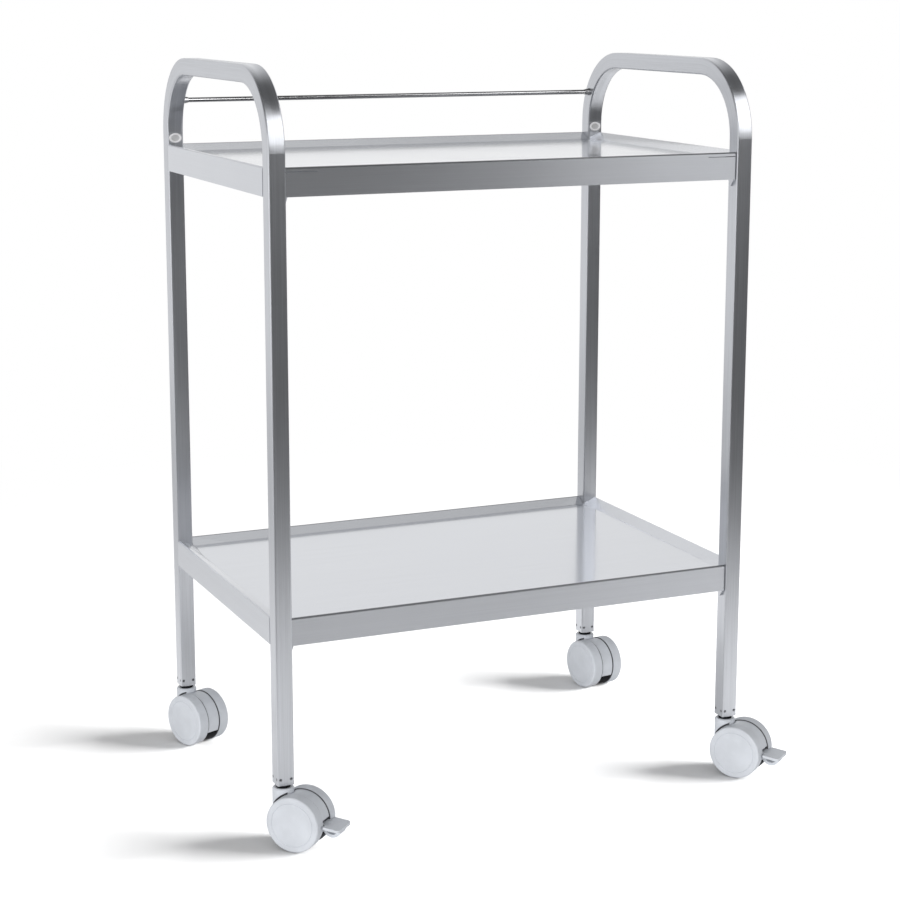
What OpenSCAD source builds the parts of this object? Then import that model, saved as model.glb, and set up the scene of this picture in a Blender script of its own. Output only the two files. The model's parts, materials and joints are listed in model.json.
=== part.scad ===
// Two-shelf instrument cart: bent square-tube end frames, folded sheet trays and twin-wheel castors.
// Millimetres, +Z up, +X along the length, -Y to the braked front side.
// The origin is on the floor, under the middle of the parked cart's footprint.

/* [Cart] */
// Length over the outer faces of the legs
cart_l = 600; // [450:5:900]
// Width over the outer faces of the legs
cart_w = 400; // [320:5:600]
// Height of the top tray's rim above the floor
top_rim_z = 768; // [600:1:900]
// Height of the lower tray's rim above the floor
lower_rim_z = 266; // [200:1:400]
// Rise of the handles above the top tray's rim
handle_rise = 107; // [100:1:160]
// Place of the frame's centre along X
frame_cx = -16.5; // [-60:0.5:60]
// Place of the frame's centre along Y
frame_cy = 26; // [-60:0.5:60]

/* [Frame tube] */
// Side of the square tube
tube = 20; // [18:0.5:30]
// Wall of the tube
tube_wall = 1.2; // [0.9:0.1:2]
// Outer radius of the tube's four edges
tube_edge_r = 2; // [1.6:0.1:3]
// Outside radius of the handle bends
bend_r = 92; // [60:1:98]
// Height of the crimp dimples above the cut end of a leg
dimple_rise = 7; // [5:0.5:12]
// Distance between the two dimples on a face
dimple_pitch = 12.6; // [8:0.1:14]
// Radius of the punch that makes a dimple
dimple_r = 2.3; // [1:0.1:3]
// Depth of a dimple
dimple_depth = 0.9; // [0.2:0.1:1]

/* [Trays] */
// Thickness of the tray sheet
sheet = 1.2; // [0.8:0.1:2]
// Height of the folded apron
apron_h = 32; // [24:1:50]
// Depth of the tray floor below the rim
floor_drop = 8; // [5:0.5:15]
// Horizontal run of the sloping inner wall
wall_run = 15; // [8:0.5:18]
// Width of the rim between the outer face and the sloping wall
rim_w = 3; // [2.6:0.1:5]
// Outer radius of the rim bend
rim_r = 2.5; // [1.5:0.1:2.6]
// Set-back of the front and rear aprons from the leg faces
apron_recess = 3; // [0:0.5:6]
// Width of the return flange under the apron
flange_w = 12; // [6:0.5:18]
// Gap between a tray's corner notch and a leg
leg_gap = 0.4; // [0.2:0.1:1]
// Length of the folded corner facet along the wall
facet_run = 45; // [20:1:80]
// Height of the corner facet above the floor at the leg's inner edge
facet_rise = 1; // [0.5:0.1:3]
// Width of a tray lug across the leg
lug_w = 13; // [8:0.5:15]
// Height of a tray lug down the leg
lug_h = 8; // [5:0.5:14]
// Thickness of a tray lug
lug_t = 2.5; // [1.5:0.1:6]
// Length of the slits from the legs into the top tray's front and rear aprons
slit_l = 37; // [10:1:60]
// Width of a slit
slit_w = 0.8; // [0.5:0.1:2]
// Depth of a slit's middle below the rim
slit_drop = 5; // [4:0.1:7]

/* [Guard rod and leg plugs] */
// Diameter of the guard rod
rod_d = 6; // [4:0.5:10]
// Rise of the guard rod above the top tray's rim
rod_rise = 54; // [30:1:80]
// Diameter of the rod's conical ferrules at the tube
ferrule_d = 10; // [8:0.5:16]
// Length of a ferrule
ferrule_l = 7; // [4:0.5:14]
// Wall of a ferrule at its thin end
ferrule_wall = 0.5; // [0.3:0.1:1]
// Width of the polished leg plugs across the leg
plug_w = 17; // [14:0.5:18]
// Height of the leg plugs along the leg
plug_h = 12.5; // [10:0.5:13]
// Thickness of a leg plug above the leg's face
plug_t = 1.8; // [1:0.1:3]
// Set-in of a leg plug's raised ring from its edge
plug_step = 1; // [0.5:0.1:2]
// Width of the dished middle of a leg plug
plug_dish_w = 9.5; // [6:0.5:12]
// Height of the dished middle of a leg plug
plug_dish_h = 5.5; // [4:0.5:8]
// Depth of the dish
plug_dish_depth = 1; // [0.4:0.1:1.4]
// Width of the hole that a leg plug fills
plug_hole_w = 12; // [8:0.5:13]
// Height of the hole that a leg plug fills
plug_hole_h = 7.5; // [6:0.5:9]
// Gap between a leg plug and its hole
plug_gap = 0.15; // [0.1:0.05:0.4]
// Rise of the leg plugs above the top tray's rim
plug_rise = 8; // [7:0.1:8.7]

/* [Castor wheels] */
// Diameter of a castor wheel
wheel_d = 65; // [50:1:90]
// Width of one wheel
wheel_w = 15; // [12:0.5:24]
// Gap between a wheel and the hood
wheel_gap = 0.6; // [0.4:0.1:1.5]
// Thickness of the soft tyre on the rim
tyre_t = 3.9; // [3.6:0.1:6]
// Thickness of the rim under the tyre
rim_t = 2.6; // [2:0.1:4]
// Radius of the tyre's outer shoulder
shoulder_r = 2.4; // [2:0.1:3.8]
// Radius of the tyre's inner edge
tyre_edge_r = 1; // [0.5:0.1:2]
// Width of the tyre's lip over the wheel face
lip_w = 3.2; // [2:0.1:6]
// Depth of the tyre's lip
lip_t = 1.8; // [1:0.1:2.2]
// Width of the groove's slope at the seam between tyre and wheel
seam_bevel = 0.5; // [0.2:0.1:1]
// Thickness of the wheel's face
face_t = 2.6; // [2:0.1:5]
// Thickness of the hub's closed end
hub_end_t = 2.2; // [1.5:0.1:3]
// Diameter of the wheel's hub
hub_d = 16; // [13:0.5:22]
// Diameter of the axle
axle_d = 8; // [5:0.5:10]
// Radial running clearance of hubs and stems
run_clear = 0.05; // [0.02:0.01:0.1]
// Depth of the snap grooves on axle and stem
snap_depth = 0.6; // [0.4:0.1:1]
// Width of the snap grooves
snap_w = 2.4; // [2:0.1:4]

/* [Castor body] */
// Distance from the swivel axis back to the axle
trail = 22; // [16:0.5:32]
// Width of the hood between the wheels
hood_w = 17; // [15:0.5:24]
// Depth of the hood below the wheel's tread
hood_drop = 1; // [0.5:0.1:3]
// Thickness of the hood's strip
hood_t = 5; // [3:0.1:7]
// Lower end of the hood's strip on a castor without a brake, degrees above the axle
hood_end = -25; // [-40:1:10]
// Lower end of the hood's strip on a braked castor, degrees above the axle
hood_end_braked = 8; // [5:1:30]
// Front end of the hood's strip, degrees
hood_lead = 200; // [150:1:215]
// Lower end of the core's full-size tail under an unbraked hood, degrees above the axle
core_tail = -68; // [-85:1:-45]
// Gap between pieces of a castor body
body_gap = 0.3; // [0.2:0.05:0.6]
// Set-back of the core's sides from the hood's sides
core_inset = 0.5; // [0.3:0.1:2]
// Diameter of the neck round the stem
neck_d = 25; // [20:0.5:32]
// Bevel of the neck's top edge
neck_bevel = 1.5; // [0.5:0.1:3]
// Height of the neck's foot above the axle
neck_foot = 11.5; // [8:0.5:16]
// Least height of the neck's foot above the corner of its flats and the hood
foot_clear = 3; // [2:0.5:6]
// Gap between the neck and the wheels' treads
neck_gap = 1.8; // [0.8:0.1:3]
// Set-in of the neck's flats from the hood's sides
neck_inset = 0.2; // [0.1:0.1:1]
// Width of the groove in the hood round the neck
groove_w = 1; // [0.5:0.1:2]
// Depth of the groove at the hood's sides
groove_depth = 1.5; // [0.5:0.1:2]
// Rise of the leg's cut end above the wheels
leg_rise = 7; // [6:0.5:20]
// Diameter of the stem in the leg's socket
stem_d = 10; // [8:0.5:12]
// Length of the stem in the leg's socket
stem_l = 28; // [20:1:40]
// Diameter of the stem's journal in the neck
journal_d = 9; // [7:0.5:10]
// Diameter of the stem's collar
collar_d = 15; // [12:0.5:16]
// Height of the stem's collar
collar_h = 1.4; // [1:0.1:4]
// Diameter of the dark washer under the collar
washer_d = 16.5; // [11:0.5:19]
// Height of the washer
washer_h = 2.4; // [0.8:0.1:4]
// Material between the stem's lower end and the core
stem_floor = 1.5; // [1:0.1:4]
// Gap under the collar
collar_gap = 0.2; // [0.1:0.05:0.4]
// Length of the socket in a leg
socket_l = 32; // [22:1:45]
// Fit gap between the socket and the tube
socket_gap = 0.1; // [0.05:0.05:0.3]
// Parked angle of the front left castor
park_front_left = 46; // [-180:1:180]
// Parked angle of the front right castor
park_front_right = 53; // [-180:1:180]
// Parked angle of the rear left castor
park_rear_left = 67; // [-180:1:180]
// Parked angle of the rear right castor
park_rear_right = 80; // [-180:1:180]

/* [Brake pedal] */
// Width of the pedal's tongue
pedal_w = 33; // [20:0.5:40]
// Length of the pedal's tongue
pedal_l = 20; // [14:0.5:30]
// Thickness of the pedal's tongue
pedal_t = 3.2; // [2.5:0.1:5]
// Downward slope of the tongue, degrees
pedal_slope = 5; // [0:1:12]
// Corner radius of the tongue
pedal_corner_r = 4; // [2:0.5:8]
// Gap between the tongue and the wheels' treads
pedal_gap = 2.5; // [1.5:0.1:5]
// Height of the tongue's root above the axle
pedal_rise = 0.9; // [0:0.1:2]
// Outer radius of the toe loop
loop_r = 11.5; // [10:0.5:14]
// Place of the toe loop's centre behind the tongue's root
loop_dx = 7; // [5:0.5:8]
// Thickness of the toe loop
loop_t = 3.5; // [2.5:0.1:5]
// Width of the toe loop
loop_w = 15; // [10:0.5:15]
// Inset of the pedal's pivot from the wheel's rim
pivot_inset = 4.3; // [4:0.1:6]
// Angle of the pivot below the axle, degrees
pivot_angle = 29; // [24:1:36]
// Diameter of the pedal's pin
pin_d = 4; // [3:0.5:5]
// Radius of the pedal's eye round the pin
eye_r = 6; // [5:0.5:7]
// Gap between the pedal's eye and the core
eye_gap = 1; // [0.5:0.1:2]
// Thickness of one cheek of the pedal's fork
fork_t = 3.2; // [2.5:0.1:4]
// Radius of the core's web inside the fork
web_r = 9; // [8:0.5:10]
// Length of the arm's flat top before the tongue's root
arm_top_l = 5; // [3:0.5:8]
// Overlap of the arm and the tongue
arm_lap = 2; // [1:0.5:4]
// Depth of the arm at the tongue's root
arm_h = 6.4; // [5:0.1:9]
// Set-in of the arm's edges from the eye
arm_inset = 1; // [0.5:0.1:2]
// Diameter of the brake pegs
peg_d = 4.8; // [3:0.1:6]
// Reach of a brake peg into the wheel
peg_reach = 4.4; // [3:0.1:8]
// Place of the brake pegs behind the pivot
peg_dx = 2.5; // [1:0.1:4]
// Place of the brake pegs above the pivot
peg_dz = 5; // [4:0.1:6]

/* [Hidden] */
$fn = 96;
CUT = 1;

leg_x = cart_l / 2 - tube / 2;
leg_y = cart_w / 2 - tube / 2;
handle_z = top_rim_z + handle_rise;
bend_z = handle_z - bend_r;
bend_y = cart_w / 2 - bend_r;
bend_mid_r = bend_r - tube / 2;

wheel_r = wheel_d / 2;
leg_end_z = wheel_d + leg_rise;
tray_x = cart_l / 2;
tray_y = cart_w / 2 - apron_recess;
notch_x = cart_l / 2 - tube - leg_gap;
notch_y = cart_w / 2 - tube - leg_gap;
pan_v = sheet * sqrt(1 + pow(floor_drop / wall_run, 2));

rod_z = top_rim_z + rod_rise;
rod_y = bend_y + sqrt(pow(bend_mid_r, 2) - pow(max(0, rod_z - bend_z), 2));
rod_l = cart_l - 2 * tube;

wheel_y = hood_w / 2 + wheel_gap;
rim_out_r = wheel_r - tyre_t;
rim_in_r = rim_out_r - rim_t;
seam_r = rim_out_r - lip_w;
step_y = wheel_w - lip_t;
core_w = hood_w - 2 * core_inset;
hub_start = core_w / 2 + body_gap - wheel_y;
bore_end = wheel_w - hub_end_t;
axle_half = wheel_y + bore_end - body_gap;
snap_y = wheel_y + bore_end - 2 * snap_w;

hood_r = wheel_r - hood_drop;
core_r = hood_r - hood_t - body_gap;
core_tail_top = hood_end - body_gap / hood_r * 180 / PI;
neck_top_z = leg_end_z - collar_h - collar_gap - washer_h;
neck_flat_x = sqrt(max(0, pow(neck_d / 2, 2) - pow(hood_w / 2, 2)));
neck_corner = sqrt(max(0, pow(hood_r, 2) - pow(trail + neck_flat_x, 2)));
neck_foot_z = wheel_r + max(neck_foot, neck_corner + foot_clear);
groove_z = wheel_r + sqrt(pow(hood_r, 2) - pow(trail - neck_flat_x, 2)) - groove_depth;
journal_r = journal_d / 2;
stem_end_z = wheel_r + sqrt(pow(core_r, 2) - pow(trail - journal_r, 2)) + stem_floor;
stem_snap_z = stem_end_z + snap_w;

fork_half = hood_w / 2 - body_gap;
slot_half = fork_half - fork_t;
web_half = slot_half - body_gap;
pivot_x = trail + (rim_in_r - pivot_inset) * cos(pivot_angle);
pivot_z = wheel_r - (rim_in_r - pivot_inset) * sin(pivot_angle);
core_cut_x = pivot_x - eye_r - eye_gap;
tongue_x = trail + wheel_r + pedal_gap;
tongue_z = wheel_r + pedal_rise;
loop_x = tongue_x + loop_dx;
loop_z = tongue_z - pedal_t;

// A corner holds its side along X, its side along Y, its parked angle and whether it has a brake.
front_left = [-1, -1, park_front_left, true];
front_right = [1, -1, park_front_right, true];
rear_left = [-1, 1, park_rear_left, false];
rear_right = [1, 1, park_rear_right, false];

STEEL = "silver";
POLISHED = "gainsboro";
GREY = "lightgray";
TREAD = "darkgray";
BLACK = "dimgray";

// Placing

module on_frame() {
    translate([frame_cx, frame_cy, 0]) children();
}

module at_leg(c) {
    on_frame() translate([c[0] * leg_x, c[1] * leg_y, 0]) children();
}

module at_castor(c) {
    at_leg(c) rotate([0, 0, -c[2]]) children();
}

// Turns Z to +Y, about a point of the castor's side view
module along_axle(x, z) {
    translate([x, 0, z]) rotate([-90, 0, 0]) children();
}

// Extrudes a side view, drawn as X and Z, to a width across the axle
module side_plate(w) {
    rotate([90, 0, 0]) linear_extrude(w, center = true) children();
}

// Extrudes an end view, drawn as Y and Z, along X
module end_plate(l) {
    rotate([90, 0, 90]) linear_extrude(l, center = true) children();
}

module on_both_sides() {
    children();
    mirror([0, 1, 0]) children();
}

module on_both_ends() {
    children();
    mirror([1, 0, 0]) children();
}

// End frames

module rounded_square(s, r) {
    square([s, s - 2 * r], center = true);
    square([s - 2 * r, s], center = true);
    for (x = [-1, 1], y = [-1, 1]) translate([x, y] * (s / 2 - r)) circle(r);
}

module tube_section() {
    difference() {
        rounded_square(tube, tube_edge_r);
        rounded_square(tube - 2 * tube_wall, tube_edge_r - tube_wall);
    }
}

module half_end_frame() {
    translate([0, leg_y, leg_end_z]) linear_extrude(bend_z - leg_end_z) tube_section();
    translate([0, bend_y, bend_z]) rotate([90, 0, 90])
        rotate_extrude(angle = 90) translate([bend_mid_r, 0]) tube_section();
    translate([0, 0, handle_z - tube / 2]) rotate([-90, 0, 0])
        linear_extrude(bend_y) tube_section();
}

// Punched dimples that crimp the tube onto the castor's socket, two on each face
module crimp_dimples() {
    for (turn = [0, 90, 180, 270], side = [-1, 1])
        rotate([0, 0, turn])
            translate([side * dimple_pitch / 2, tube / 2 + dimple_r - dimple_depth, leg_end_z + dimple_rise])
                sphere(dimple_r);
}

module oval(w, h) {
    square([w - h, h], center = true);
    for (s = [-1, 1]) translate([s * (w - h) / 2, 0]) circle(d = h);
}

module plug_place() {
    translate([0, leg_y - tube / 2, top_rim_z + plug_rise]) rotate([90, 0, 0]) children();
}

module end_frame(side) {
    color(STEEL) on_frame() translate([side * leg_x, 0, 0]) difference() {
        on_both_sides() half_end_frame();
        on_both_sides() translate([0, leg_y, 0]) crimp_dimples();
        on_both_sides() plug_place() linear_extrude(tube, center = true) oval(plug_hole_w, plug_hole_h);
    }
}

// A polished oval plug with a raised ring and a dished middle fills the hole in each leg's inner face.
module leg_plug() {
    difference() {
        union() {
            translate([0, 0, -tube_wall]) linear_extrude(tube_wall + plug_t / 2)
                oval(plug_hole_w - 2 * plug_gap, plug_hole_h - 2 * plug_gap);
            linear_extrude(plug_t / 2) oval(plug_w, plug_h);
            linear_extrude(plug_t) oval(plug_w - 2 * plug_step, plug_h - 2 * plug_step);
        }
        translate([0, 0, plug_t - plug_dish_depth]) linear_extrude(plug_t) oval(plug_dish_w, plug_dish_h);
    }
}

module leg_plugs() {
    color(POLISHED) on_frame() on_both_ends() on_both_sides() translate([leg_x, 0, 0]) plug_place() leg_plug();
}

// Trays

// Plan of a tray with its four corners notched for the legs, drawn in by an inset
module tray_plan(inset) {
    difference() {
        square([2 * (tray_x - inset), 2 * (tray_y - inset)], center = true);
        for (x = [-1, 1], y = [-1, 1])
            translate([x * (notch_x - inset + tube), y * (notch_y - inset + tube)])
                square(2 * tube, center = true);
    }
}

// Section of the apron with its rim bends, from the apron's foot up
module apron_section(half) {
    translate([-half, 0]) square([2 * half, apron_h - rim_r]);
    translate([rim_r - half, 0]) square([2 * (half - rim_r), apron_h]);
    for (s = [-1, 1]) translate([s * (half - rim_r), apron_h - rim_r]) circle(rim_r);
}

// Section of the space over the pan: flat floor and sloping walls
module pan_section(half) {
    top = half - rim_w;
    foot = top - wall_run;
    polygon([
        [-foot, apron_h - floor_drop],
        [foot, apron_h - floor_drop],
        [top, apron_h],
        [top, apron_h + CUT],
        [-top, apron_h + CUT],
        [-top, apron_h]
    ]);
}

// Section of the space under the pan, one sheet below it
module under_section(half) {
    top = half - rim_w;
    foot = top - wall_run;
    polygon([
        [-half, sheet],
        [half, sheet],
        [half, apron_h - pan_v],
        [top, apron_h - pan_v],
        [foot, apron_h - floor_drop - pan_v],
        [-foot, apron_h - floor_drop - pan_v],
        [-top, apron_h - pan_v],
        [-half, apron_h - pan_v]
    ]);
}

// Space on the inner side of a corner facet. The facet rises from the foot of the sloping wall at the
// far X, one facet run from the leg's notch, to the notch's corner and to the rim beside the leg.
module facet_space(half, notch_across, notch_along) {
    floor_z = apron_h - floor_drop;
    top = half - rim_w;
    start = [top - wall_run, notch_along - facet_run, floor_z];
    to_leg = [notch_across, notch_along, floor_z + facet_rise] - start;
    to_rim = [top, notch_along, apron_h] - start;
    normal = cross(to_rim, to_leg);
    reach = cart_l + cart_w;
    translate(start) rotate([0, acos(normal[2] / norm(normal)), atan2(normal[1], normal[0])])
        translate([-reach, -reach, 0]) cube(2 * reach);
}

// Space over the pan: flat floor, four sloping walls and two facets at every corner
module pan_space() {
    intersection() {
        end_plate(2 * tray_x) pan_section(tray_y);
        side_plate(2 * tray_y) pan_section(tray_x);
        intersection_for(x = [0, 1], y = [0, 1]) mirror([x, 0, 0]) mirror([0, y, 0]) intersection() {
            facet_space(tray_x, notch_x, notch_y);
            mirror([1, -1, 0]) facet_space(tray_y, notch_y, notch_x);
        }
    }
}

// Slits that part the rim from the front and rear aprons beside the legs
module apron_slits() {
    on_both_ends() on_both_sides() translate([notch_x - slit_l, tray_y - 2 * sheet, apron_h - slit_drop - slit_w / 2])
        cube([slit_l + CUT, 2 * sheet + CUT, slit_w]);
}

module tray(rim_z, slitted) {
    color(STEEL) on_frame() translate([0, 0, rim_z - apron_h]) {
        difference() {
            intersection() {
                linear_extrude(apron_h) tray_plan(0);
                end_plate(2 * tray_x) apron_section(tray_y);
                side_plate(2 * tray_y) apron_section(tray_x);
            }
            pan_space();
            intersection() {
                linear_extrude(apron_h) tray_plan(sheet);
                union() {
                    end_plate(2 * tray_x) under_section(tray_y);
                    side_plate(2 * tray_y) under_section(tray_x);
                }
            }
            translate([0, 0, -CUT]) linear_extrude(2 * CUT + sheet) tray_plan(flange_w);
            if (slitted) apron_slits();
        }
    }
}

// Pointed lugs on the inner faces of the legs carry the tray's return flange.
module tray_lugs(rim_z) {
    color(STEEL) on_frame() on_both_ends() on_both_sides()
        translate([cart_l / 2 - tube - lug_t / 2, leg_y, rim_z - apron_h])
            end_plate(lug_t) polygon([[-lug_w / 2, 0], [0, -lug_h], [lug_w / 2, 0]]);
}

// Guard rod

module guard_rod() {
    color(POLISHED) on_frame() translate([-rod_l / 2, rod_y, rod_z]) rotate([0, 90, 0])
        cylinder(d = rod_d, h = rod_l);
}

module guard_rod_ferrules() {
    color(BLACK) on_frame() on_both_ends() translate([rod_l / 2, rod_y, rod_z]) rotate([0, -90, 0])
        difference() {
            cylinder(d1 = ferrule_d, d2 = rod_d + 2 * ferrule_wall, h = ferrule_l);
            translate([0, 0, -CUT]) cylinder(d = rod_d + 2 * run_clear, h = ferrule_l + 2 * CUT);
        }
}

// Castor stem and socket, fixed in the leg

module castor_socket(c) {
    side = tube - 2 * tube_wall - 2 * socket_gap;
    color(BLACK) at_leg(c) translate([0, 0, leg_end_z]) difference() {
        linear_extrude(socket_l) rounded_square(side, tube_edge_r - tube_wall);
        translate([0, 0, -CUT]) cylinder(d = stem_d + 2 * run_clear, h = stem_l + 2 * CUT);
    }
}

module castor_stem(c) {
    color(POLISHED) at_leg(c) {
        translate([0, 0, leg_end_z]) cylinder(d = stem_d, h = stem_l);
        translate([0, 0, leg_end_z - collar_h]) cylinder(d = collar_d, h = collar_h);
        difference() {
            translate([0, 0, stem_end_z]) cylinder(d = journal_d, h = leg_end_z - stem_end_z);
            translate([0, 0, stem_snap_z]) difference() {
                cylinder(d = journal_d + CUT, h = snap_w);
                cylinder(d = journal_d - 2 * snap_depth, h = snap_w);
            }
        }
    }
}

// Castor body, which swivels on the stem

module castor_washer(c) {
    color(BLACK) at_castor(c) translate([0, 0, neck_top_z]) difference() {
        cylinder(d = washer_d, h = washer_h);
        translate([0, 0, -CUT]) cylinder(d = journal_d + 4 * run_clear, h = washer_h + 2 * CUT);
    }
}

// Wedge of the side view from one angle to another, about the axle
module wedge(from, to) {
    steps = 6;
    polygon(concat(
        [[0, 0]],
        [for (i = [0:steps]) 2 * wheel_r * [cos(from + (to - from) * i / steps), sin(from + (to - from) * i / steps)]]
    ));
}

// Sector between the wheels; the space for the core makes it a strip.
module hood_sector(end) {
    translate([trail, 0, wheel_r]) side_plate(hood_w) intersection() {
        circle(hood_r);
        wedge(end, hood_lead);
    }
}

module hood_neck() {
    translate([0, 0, neck_foot_z]) cylinder(d = neck_d, h = neck_top_z - neck_bevel - neck_foot_z);
    translate([0, 0, neck_top_z - neck_bevel])
        cylinder(d1 = neck_d, d2 = neck_d - 2 * neck_bevel, h = neck_bevel);
}

module castor_hood(c) {
    color(GREY) at_castor(c) difference() {
        union() {
            difference() {
                hood_neck();
                on_both_sides() translate([0, hood_w / 2 - neck_inset, 0]) along_axle(trail, wheel_r)
                    cylinder(r = wheel_r + neck_gap, h = neck_d);
            }
            difference() {
                hood_sector(c[3] ? hood_end_braked : hood_end);
                translate([0, 0, groove_z]) cylinder(d = neck_d + 2 * groove_w, h = wheel_r);
            }
        }
        along_axle(trail, wheel_r) cylinder(r = core_r + body_gap, h = 2 * neck_d, center = true);
        difference() {
            translate([0, 0, stem_end_z - body_gap]) cylinder(r = journal_r + run_clear, h = 2 * neck_d);
            translate([0, 0, stem_snap_z + body_gap]) difference() {
                cylinder(d = journal_d + CUT, h = snap_w - 2 * body_gap);
                cylinder(r = journal_r - snap_depth + 2 * run_clear, h = snap_w - 2 * body_gap);
            }
        }
    }
}

// Inner carrier between the wheels; its tail carries on the hood's curve.
// A braked one ends in a narrow web for the pedal's fork instead.
module castor_core(c) {
    color(BLACK) at_castor(c) difference() {
        if (c[3]) {
            union() {
                translate([trail, 0, wheel_r]) side_plate(core_w) intersection() {
                    circle(core_r);
                    translate([core_cut_x - trail - 2 * core_r, -core_r]) square(2 * core_r);
                }
                along_axle(pivot_x, pivot_z) cylinder(r = web_r, h = 2 * web_half, center = true);
            }
        } else {
            translate([trail, 0, wheel_r]) side_plate(core_w) {
                circle(core_r);
                intersection() {
                    circle(hood_r);
                    wedge(core_tail, core_tail_top);
                }
            }
        }
        along_axle(trail, wheel_r) cylinder(d = axle_d + 2 * run_clear, h = 2 * core_w, center = true);
        if (c[3])
            along_axle(pivot_x, pivot_z) cylinder(d = pin_d + 2 * run_clear, h = 2 * core_w, center = true);
    }
}

module castor_axle(c) {
    color(POLISHED) at_castor(c) along_axle(trail, wheel_r) difference() {
        cylinder(d = axle_d, h = 2 * axle_half, center = true);
        for (s = [-1, 1]) translate([0, 0, s * snap_y]) difference() {
            cylinder(d = axle_d + CUT, h = snap_w, center = true);
            cylinder(d = axle_d - 2 * snap_depth, h = snap_w + CUT, center = true);
        }
    }
}

// Wheels, each free on its end of the axle; side is 1 for left and -1 for right, seen from the stem

module at_wheel(c, side) {
    at_castor(c) mirror([0, side < 0 ? 1 : 0, 0]) translate([0, wheel_y, 0]) along_axle(trail, wheel_r)
        rotate_extrude() children();
}

module castor_wheel(c, side) {
    bore_r = axle_d / 2 + run_clear;
    bead_r = axle_d / 2 - snap_depth + 2 * run_clear;
    bead = snap_y - wheel_y;
    bead_half = snap_w / 2 - body_gap;
    color(GREY) at_wheel(c, side) polygon([
        [bore_r, hub_start],
        [hub_d / 2, hub_start],
        [hub_d / 2, wheel_w - face_t],
        [rim_in_r, wheel_w - face_t],
        [rim_in_r, 0],
        [rim_out_r, 0],
        [rim_out_r, step_y],
        [seam_r, step_y],
        [seam_r, wheel_w - seam_bevel],
        [seam_r - seam_bevel, wheel_w],
        [0, wheel_w],
        [0, bore_end],
        [bore_r, bore_end],
        [bore_r, bead + bead_half],
        [bead_r, bead + bead_half],
        [bead_r, bead - bead_half],
        [bore_r, bead - bead_half]
    ]);
}

module castor_tyre(c, side) {
    shoulder_x = wheel_r - shoulder_r;
    shoulder_y = wheel_w - shoulder_r;
    color(TREAD) at_wheel(c, side) difference() {
        union() {
            translate([rim_out_r, 0]) square([tyre_t - tyre_edge_r, shoulder_y]);
            translate([rim_out_r, tyre_edge_r]) square([tyre_t, shoulder_y - tyre_edge_r]);
            translate([wheel_r - tyre_edge_r, tyre_edge_r]) circle(tyre_edge_r);
            translate([rim_out_r, 0]) square([tyre_t - shoulder_r, wheel_w]);
            translate([seam_r, step_y]) square([shoulder_x - seam_r, lip_t]);
            intersection() {
                translate([shoulder_x, shoulder_y]) circle(shoulder_r);
                translate([shoulder_x, 0]) square([shoulder_r, wheel_w]);
            }
        }
        translate([seam_r, wheel_w]) rotate(45) square(seam_bevel * sqrt(2), center = true);
    }
}

// Brake pedal: a forked lever with a tongue, a toe loop and a peg into each wheel

module pedal_arm() {
    translate([pivot_x, pivot_z]) circle(eye_r);
    polygon([
        [pivot_x - eye_r / 2, pivot_z + eye_r - arm_inset],
        [tongue_x - arm_top_l, tongue_z],
        [tongue_x + arm_lap, tongue_z],
        [tongue_x + arm_lap, tongue_z - arm_h],
        [tongue_x - arm_h, pivot_z + arm_inset],
        [pivot_x + eye_r / 2, pivot_z - eye_r + arm_inset]
    ]);
}

module pedal_tongue() {
    drop = pedal_l * tan(pedal_slope);
    intersection() {
        side_plate(pedal_w) polygon([
            [tongue_x, tongue_z],
            [tongue_x + pedal_l, tongue_z - drop],
            [tongue_x + pedal_l, tongue_z - drop - pedal_t],
            [tongue_x, tongue_z - pedal_t]
        ]);
        linear_extrude(2 * wheel_r) {
            translate([tongue_x, -pedal_w / 2]) square([pedal_l - pedal_corner_r, pedal_w]);
            translate([tongue_x, pedal_corner_r - pedal_w / 2]) square([pedal_l, pedal_w - 2 * pedal_corner_r]);
            for (s = [-1, 1])
                translate([tongue_x + pedal_l - pedal_corner_r, s * (pedal_w / 2 - pedal_corner_r)])
                    circle(pedal_corner_r);
        }
    }
}

module pedal_loop() {
    side_plate(loop_w) translate([loop_x, loop_z]) intersection() {
        difference() {
            circle(loop_r);
            circle(loop_r - loop_t);
        }
        translate([-2 * loop_r, -2 * loop_r]) square([4 * loop_r, 2 * loop_r]);
    }
}

module brake_pedal(c) {
    peg_l = wheel_y - slot_half + peg_reach;
    color(GREY) at_castor(c) difference() {
        union() {
            difference() {
                side_plate(2 * fork_half) pedal_arm();
                along_axle(pivot_x, pivot_z) cylinder(r = web_r + 2 * body_gap, h = 2 * slot_half, center = true);
            }
            pedal_tongue();
            pedal_loop();
            on_both_sides() translate([0, slot_half, 0]) along_axle(pivot_x + peg_dx, pivot_z + peg_dz)
                cylinder(d = peg_d, h = peg_l);
        }
        along_axle(pivot_x, pivot_z) cylinder(d = pin_d + 2 * run_clear, h = 2 * hood_w, center = true);
    }
}

module pedal_pin(c) {
    color(POLISHED) at_castor(c) along_axle(pivot_x, pivot_z)
        cylinder(d = pin_d, h = 2 * fork_half, center = true);
}

end_frame(-1);  // left_end_frame
end_frame(1);  // right_end_frame
tray(top_rim_z, true);  // top_tray
tray(lower_rim_z, false);  // lower_tray
tray_lugs(top_rim_z);  // top_tray_lugs
tray_lugs(lower_rim_z);  // lower_tray_lugs
leg_plugs();
guard_rod();
guard_rod_ferrules();

castor_socket(front_left);  // front_left_socket
castor_stem(front_left);  // front_left_stem
castor_washer(front_left);  // front_left_washer
castor_hood(front_left);  // front_left_hood
castor_core(front_left);  // front_left_core
castor_axle(front_left);  // front_left_axle
castor_wheel(front_left, 1);  // front_left_wheel_l
castor_tyre(front_left, 1);  // front_left_tyre_l
castor_wheel(front_left, -1);  // front_left_wheel_r
castor_tyre(front_left, -1);  // front_left_tyre_r
brake_pedal(front_left);  // front_left_pedal
pedal_pin(front_left);  // front_left_pedal_pin

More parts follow.
